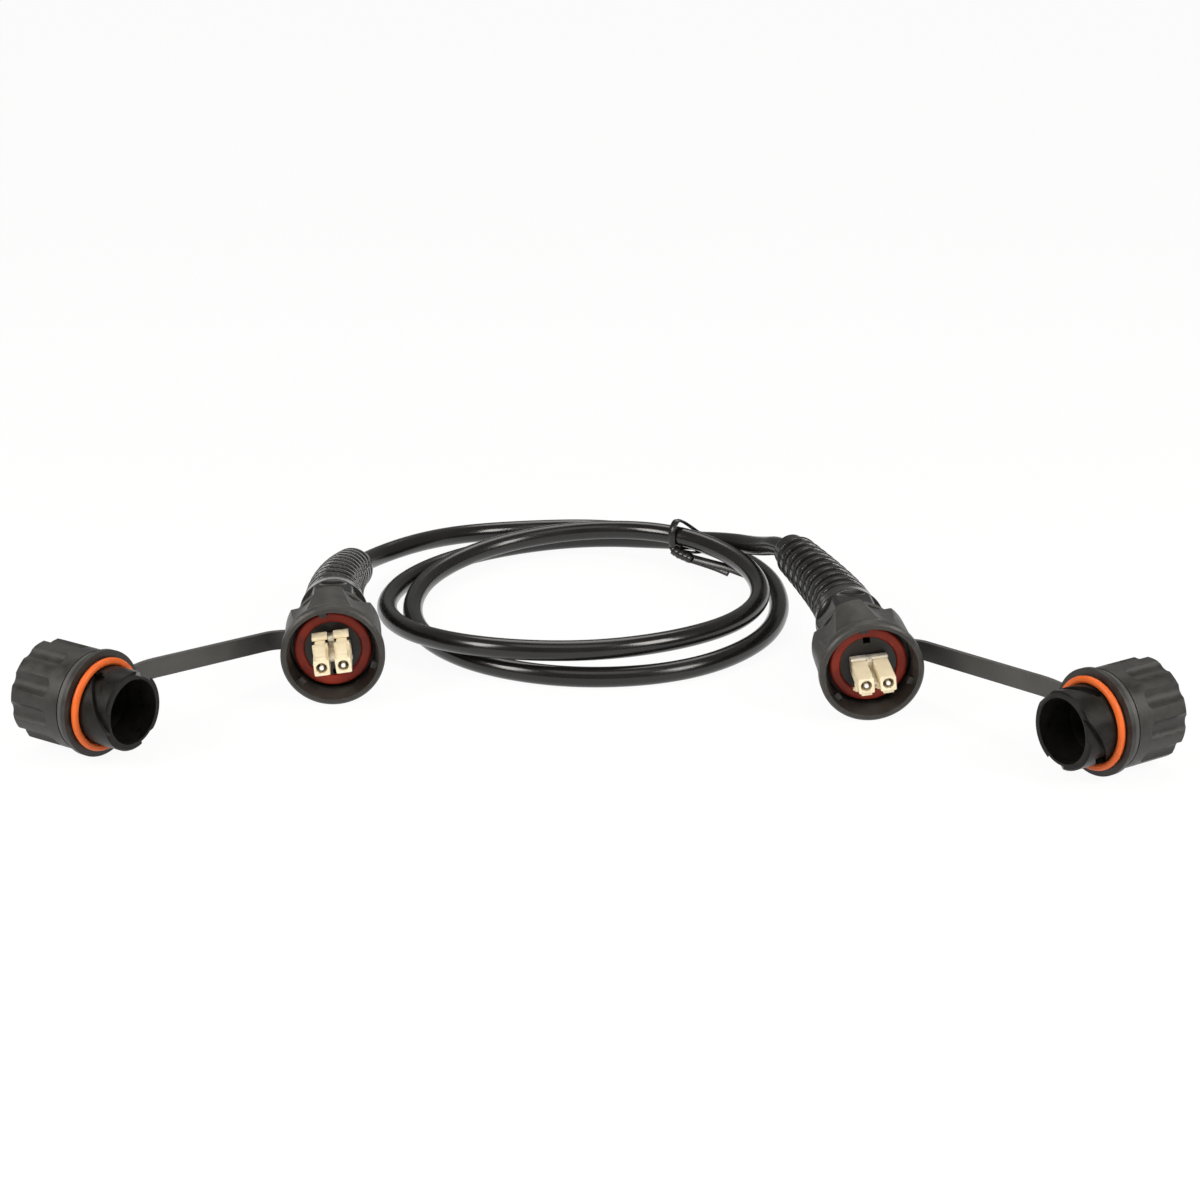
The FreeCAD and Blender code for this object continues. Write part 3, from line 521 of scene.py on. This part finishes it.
def slab(profile, half_width, y):
    """Side profile made into a bar across the connector, with rounded edges."""
    form = bmesh.new()
    near = [form.verts.new((x, y - half_width, z)) for x, z in profile]
    far = [form.verts.new((x, y + half_width, z)) for x, z in profile]
    form.faces.new(near)
    form.faces.new(far)
    for i in range(len(profile)):
        form.faces.new((near[i - 1], near[i], far[i], far[i - 1]))
    bmesh.ops.recalc_face_normals(form, faces=form.faces[:])
    bmesh.ops.bevel(form, geom=form.edges[:], offset=LC_EDGE, offset_type="OFFSET", segments=LC_EDGE_STEPS,
                    profile=0.5, affect="EDGES", clamp_overlap=True)
    form.verts.index_update()
    points = [vert.co.copy() for vert in form.verts]
    faces = [tuple(vert.index for vert in face.verts) for face in form.faces]
    form.free()
    return points, faces


def joined(parts):
    """Points and faces of several parts as one."""
    points = []
    faces = []
    for part_points, part_faces in parts:
        faces += [tuple(i + len(points) for i in face) for face in part_faces]
        points += part_points
    return points, faces


def lc_mesh(name, y):
    """Square body with its mouth, and a latch with a shoulder, a narrow neck and a ridged tab."""
    stations = ((-LC_TAIL, LC_HALF, SQUARE), (LC_FRONT - LC_EDGE, LC_HALF, SQUARE),
                (LC_FRONT, LC_HALF - LC_EDGE, SQUARE), (LC_FRONT, LC_MOUTH_RADIUS + LC_EDGE, ROUND),
                (LC_FRONT - LC_EDGE, LC_MOUTH_RADIUS, ROUND), (LC_MOUTH, LC_MOUTH_RADIUS, ROUND),
                (LC_MOUTH, LC_CHAMBER_RADIUS, ROUND), (LC_CHAMBER_END, LC_CHAMBER_RADIUS, ROUND))
    body = skin([lc_ring(x, y, half, power) for x, half, power in stations], False)
    latch = slab(LATCH_PROFILE, LATCH_HALF_WIDTH, y)
    points, faces = joined([body, latch, slab(TAB_PROFILE, LC_HALF, y), slab(STEP_PROFILE, LC_HALF, y)])
    return [lc_frame(name) @ point for point in points], faces


def clip_mesh(name):
    """Bar under the two connectors, and a post and a web between them."""
    gap = LC_PITCH / 2 - LC_HALF - CLIP_FIT
    widths = {"bar": LC_PITCH / 2 + LC_HALF, "post": gap, "web": gap}
    points, faces = joined([slab(profile, widths[part], 0.0) for part, profile in CLIP_PROFILES.items()])
    return [lc_frame(name) @ point for point in points], faces


for side in SIDES:
    for letter, y in (("a", -LC_PITCH / 2), ("b", LC_PITCH / 2)):
        housing = add_mesh(f"{side}_connector_{letter}", *lc_mesh(side, y), beige, "cord", smooth=False)
        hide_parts(f"{side}_lc_housing_{letter}")
    clip = add_mesh(side + "_clip", *clip_mesh(side), clip_plastic_painted_light, "cord", smooth=False)
    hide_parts(side + "_lc_clip")


# Rubber rings

def round_profile(middle, radius, half, count):
    """Circle of a ring's section as (x, radius) corners."""
    turns = [2 * math.pi * i / count for i in range(count)]
    return [(middle + half * math.cos(a), radius + half * math.sin(a)) for a in turns]


def cushion_profile(back, front, inner, outer, corner, count):
    """Flat section with rounded corners as (x, radius) corners."""
    profile = []
    for x, r, first in ((front - corner, outer - corner, 0), (back + corner, outer - corner, 90),
                        (back + corner, inner + corner, 180), (front - corner, inner + corner, 270)):
        for i in range(count + 1):
            a = math.radians(first + 90 * i / count)
            profile.append((x + corner * math.cos(a), r + corner * math.sin(a)))
    return profile


for side in SIDES:
    section = round_profile(CAP_RING_SECTION, CAP_RING_RADIUS, CAP_RING_SECTION, RING_SECTION_STEPS)
    o_ring = add_mesh(side + "_o_ring", *lathe(cap_frame(side), section, RING_SEGMENTS), ring_rubber, side + "_cap")
    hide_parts(side + "_cap_ring")
    section = cushion_profile(SEAL_BACK, SEAL_FRONT, SEAL_INNER, SEAL_OUTER, SEAL_CORNER, SEAL_CORNER_STEPS)
    gasket = add_mesh(side + "_gasket", *lathe(plug_frame(side), section, RING_SEGMENTS), seal_rubber, "cord")
    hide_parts(side + "_face_seal")


# Twist tie

TIE_ANGLE = math.radians(57.0)
TIE_OUT = Vector((math.cos(TIE_ANGLE), math.sin(TIE_ANGLE), 0))
TIE_HALF_WIDTH = 0.0013
TIE_HALF_THICK = 0.0005
TIE_CORE_HALF = 0.0004
TIE_WING_SHARE = 0.65
TIE_BLUNTNESS = 0.7
TIE_SECTION_STEPS = 20
TIE_SPAN_STEPS = 8
# Loop round the strands as (distance from the coil's middle, height)
TIE_LOOP = ((0.0552, 0.0062), (0.0537, 0.0092), (0.0540, 0.0134), (0.0566, 0.0158), (0.0603, 0.0146),
            (0.0652, 0.0116), (0.0702, 0.0083), (0.0744, 0.0062), (0.0757, 0.0034), (0.0742, 0.0010),
            (0.0712, 0.0007), (0.0670, 0.0018), (0.0622, 0.0036), (0.0585, 0.0053))
TIE_KNOT = ((0.0263, 0.1060, 0.0062), (0.0278, 0.1042, 0.0056), (0.0298, 0.1026, 0.0052), (0.0318, 0.1012, 0.0047))
TIE_KNOT_TURNS = 2.2
TIE_KNOT_RADIUS = 0.0013
TIE_KNOT_SLANT = 0.6
TIE_KNOT_STEPS = 14
TIE_TAILS = (
    ((0.0316, 0.1012, 0.0046), (0.0358, 0.0988, 0.0040), (0.0400, 0.0966, 0.0032), (0.0440, 0.0942, 0.0022)),
    ((0.0318, 0.1010, 0.0050), (0.0372, 0.0976, 0.0046), (0.0432, 0.0944, 0.0040), (0.0491, 0.0913, 0.0028)),
)
TIE_TAIL_WIDE = Vector((0.3, 0.45, 0.85))


def through(points, per_span, closed=False):
    """Smooth line through points."""
    count = len(points)
    line = []
    for i in range(count if closed else count - 1):
        for step in range(per_span):
            u = step / per_span
            if closed:
                before, a, b, after = (points[(i + k) % count] for k in (-1, 0, 1, 2))
            else:
                before, a, b, after = (points[min(max(i + k, 0), count - 1)] for k in (-1, 0, 1, 2))
            line.append(a + (b - before) * (u / 2) + (before - a * 2.5 + b * 2 - after / 2) * (u * u)
                        + ((a - b) * 1.5 + (after - before) / 2) * u ** 3)
    if not closed:
        line.append(points[-1])
    return line


def tie_section():
    """Flat coated wire: two thin wings and a round core."""
    section = []
    for k in range(TIE_SECTION_STEPS):
        a = 2 * math.pi * k / TIE_SECTION_STEPS
        wide = TIE_HALF_WIDTH * math.copysign(abs(math.cos(a)) ** TIE_BLUNTNESS, math.cos(a))
        core = math.exp(-(wide / TIE_CORE_HALF) ** 2)
        thick = TIE_HALF_THICK * math.sin(a) * (TIE_WING_SHARE + (1 - TIE_WING_SHARE) * core)
        section.append((wide, thick))
    return section


def ribbon(line, wide_ways, closed=False):
    """Coated wire along a line, with its width along given ways."""
    rings = []
    count = len(line)
    section = tie_section()
    for i, (point, wide) in enumerate(zip(line, wide_ways)):
        after = line[(i + 1) % count] if closed else line[min(i + 1, count - 1)]
        before = line[i - 1] if closed else line[max(i - 1, 0)]
        along = (after - before).normalized()
        thick = along.cross(wide).normalized()
        flat = thick.cross(along)
        rings.append([point + flat * w + thick * t for w, t in section])
    return skin(rings, closed)


def tie_mesh():
    """Loop, twisted knot and two tails."""
    along = Vector((-TIE_OUT.y, TIE_OUT.x, 0))
    loop = through([COIL_CENTRE + TIE_OUT * r + Vector((0, 0, z)) for r, z in TIE_LOOP], TIE_SPAN_STEPS, True)
    parts = [ribbon(loop, [along] * len(loop), True)]
    axis = through([Vector(p) for p in TIE_KNOT], TIE_KNOT_STEPS)
    way = (axis[-1] - axis[0]).normalized()
    side = way.cross(Vector((0, 0, 1))).normalized()
    upright = side.cross(way)
    for offset in (0.0, math.pi):
        line = []
        wide = []
        for i, point in enumerate(axis):
            a = offset + 2 * math.pi * TIE_KNOT_TURNS * i / (len(axis) - 1)
            outwards = side * math.cos(a) + upright * math.sin(a)
            line.append(point + outwards * TIE_KNOT_RADIUS)
            wide.append(way + outwards.cross(way) * TIE_KNOT_SLANT)
        parts.append(ribbon(line, wide))
    for tail in TIE_TAILS:
        line = through([Vector(p) for p in tail], TIE_SPAN_STEPS)
        parts.append(ribbon(line, [TIE_TAIL_WIDE] * len(line)))
    return joined(parts)


tie = add_mesh("tie", *tie_mesh(), tie_plastic, "cord")
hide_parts("twist_tie")
plug_frame("left") @ boot_end("left")


# Floor, light and camera

FLOOR_HALF = 4.0
FLOOR_COLOUR = (0.97, 0.97, 0.97, 1)
FLOOR_ROUGHNESS = 0.9
FLOOR_GLOW = 0.94
ROOM_LEVEL = 0.22
LAMP_COLOUR = (1.0, 0.965, 0.92)
# Lamps as (name, place, aim, size, power)
LAMPS = (
    ("left_light", (-0.575, -0.32, 0.424), (0.0, 0.04, 0.0), (0.26, 0.36), 4.0),
    ("right_light", (0.575, -0.32, 0.424), (0.0, 0.04, 0.0), (0.26, 0.36), 4.0),
    ("top_light", (0.0, -0.4, 0.95), (0.0, 0.0, 0.0), (0.8, 0.5), 1.6),
)
SKY_STRENGTH = 0.85
SKY_SPREAD = math.radians(35.0)
SKY_TILT = math.radians(-36.0)


def seen_rays(nodes, links):
    """1 for rays from the camera, reflections and clear materials, else 0."""
    path = nodes.new("ShaderNodeLightPath")
    seen = path.outputs["Is Camera Ray"]
    for kind in ("Is Glossy Ray", "Is Transmission Ray"):
        both = nodes.new("ShaderNodeMath")
        both.operation = "MAXIMUM"
        links.new(seen, both.inputs[0])
        links.new(path.outputs[kind], both.inputs[1])
        seen = both.outputs[0]
    return seen


def scaled(nodes, links, value, factor, offset=0.0):
    """A value times a factor plus an offset."""
    node = nodes.new("ShaderNodeMath")
    node.operation = "MULTIPLY_ADD"
    links.new(value, node.inputs[0])
    node.inputs[1].default_value = factor
    node.inputs[2].default_value = offset
    return node.outputs[0]


def floor_material():
    """White floor: shows white to the camera and in reflections, and keeps the object's shadow."""
    material, nodes, links = new_material("floor")
    shader = nodes["Principled BSDF"]
    shader.inputs["Base Color"].default_value = FLOOR_COLOUR
    shader.inputs["Roughness"].default_value = FLOOR_ROUGHNESS
    shader.inputs["Specular IOR Level"].default_value = 0.0
    glow = nodes.new("ShaderNodeEmission")
    glow.inputs["Strength"].default_value = 1.0
    mix = nodes.new("ShaderNodeMixShader")
    links.new(scaled(nodes, links, seen_rays(nodes, links), FLOOR_GLOW), mix.inputs["Fac"])
    links.new(shader.outputs["BSDF"], mix.inputs[1])
    links.new(glow.outputs["Emission"], mix.inputs[2])
    links.new(mix.outputs["Shader"], nodes["Material Output"].inputs["Surface"])
    return material


def soft_light(name, place, aim, size, power):
    """Flat lamp aimed at a point."""
    lamp = bpy.data.lights.new(name, "AREA")
    lamp.shape = "RECTANGLE"
    lamp.size, lamp.size_y = size
    lamp.energy = power
    lamp.color = LAMP_COLOUR
    holder = bpy.data.objects.new(name, lamp)
    holder.location = place
    holder.rotation_euler = (Vector(aim) - Vector(place)).to_track_quat("-Z", "Y").to_euler()
    bpy.context.scene.collection.objects.link(holder)


floor_mesh = bpy.data.meshes.new("floor")
floor_mesh.from_pydata([(-FLOOR_HALF, -FLOOR_HALF, 0), (FLOOR_HALF, -FLOOR_HALF, 0), (FLOOR_HALF, FLOOR_HALF, 0),
                        (-FLOOR_HALF, FLOOR_HALF, 0)], [], [(0, 1, 2, 3)])
floor_mesh.materials.append(floor_material())
floor = bpy.data.objects.new("floor", floor_mesh)
bpy.context.scene.collection.objects.link(floor)

world = bpy.data.worlds.new("studio")
bpy.context.scene.world = world
world.use_nodes = True
world_nodes = world.node_tree.nodes
world_links = world.node_tree.links
world_nodes["Background"].inputs["Color"].default_value = (1.0, 1.0, 1.0, 1)
world_path = world_nodes.new("ShaderNodeLightPath")
world_level = scaled(world_nodes, world_links, world_path.outputs["Is Camera Ray"], 1.0 - ROOM_LEVEL, ROOM_LEVEL)
world_links.new(world_level, world_nodes["Background"].inputs["Strength"])

for lamp in LAMPS:
    soft_light(*lamp)
sky = bpy.data.lights.new("sky_light", "SUN")
sky.energy = SKY_STRENGTH
sky.angle = SKY_SPREAD
sky.color = LAMP_COLOUR
sky_holder = bpy.data.objects.new("sky_light", sky)
sky_holder.rotation_euler = (SKY_TILT, 0.0, 0.0)
bpy.context.scene.collection.objects.link(sky_holder)

camera_data = bpy.data.cameras.new("camera")
camera_data.sensor_width = SENSOR
camera_data.lens = LENS
camera = bpy.data.objects.new("camera", camera_data)
camera_way = Vector((0, -math.cos(CAMERA_ELEVATION), math.sin(CAMERA_ELEVATION)))
camera.location = CAMERA_TARGET + camera_way * CAMERA_DISTANCE
camera.rotation_euler = (math.pi / 2 - CAMERA_ELEVATION, 0, 0)
bpy.context.scene.collection.objects.link(camera)
bpy.context.scene.camera = camera
bpy.context.scene.view_settings.view_transform = "Standard"
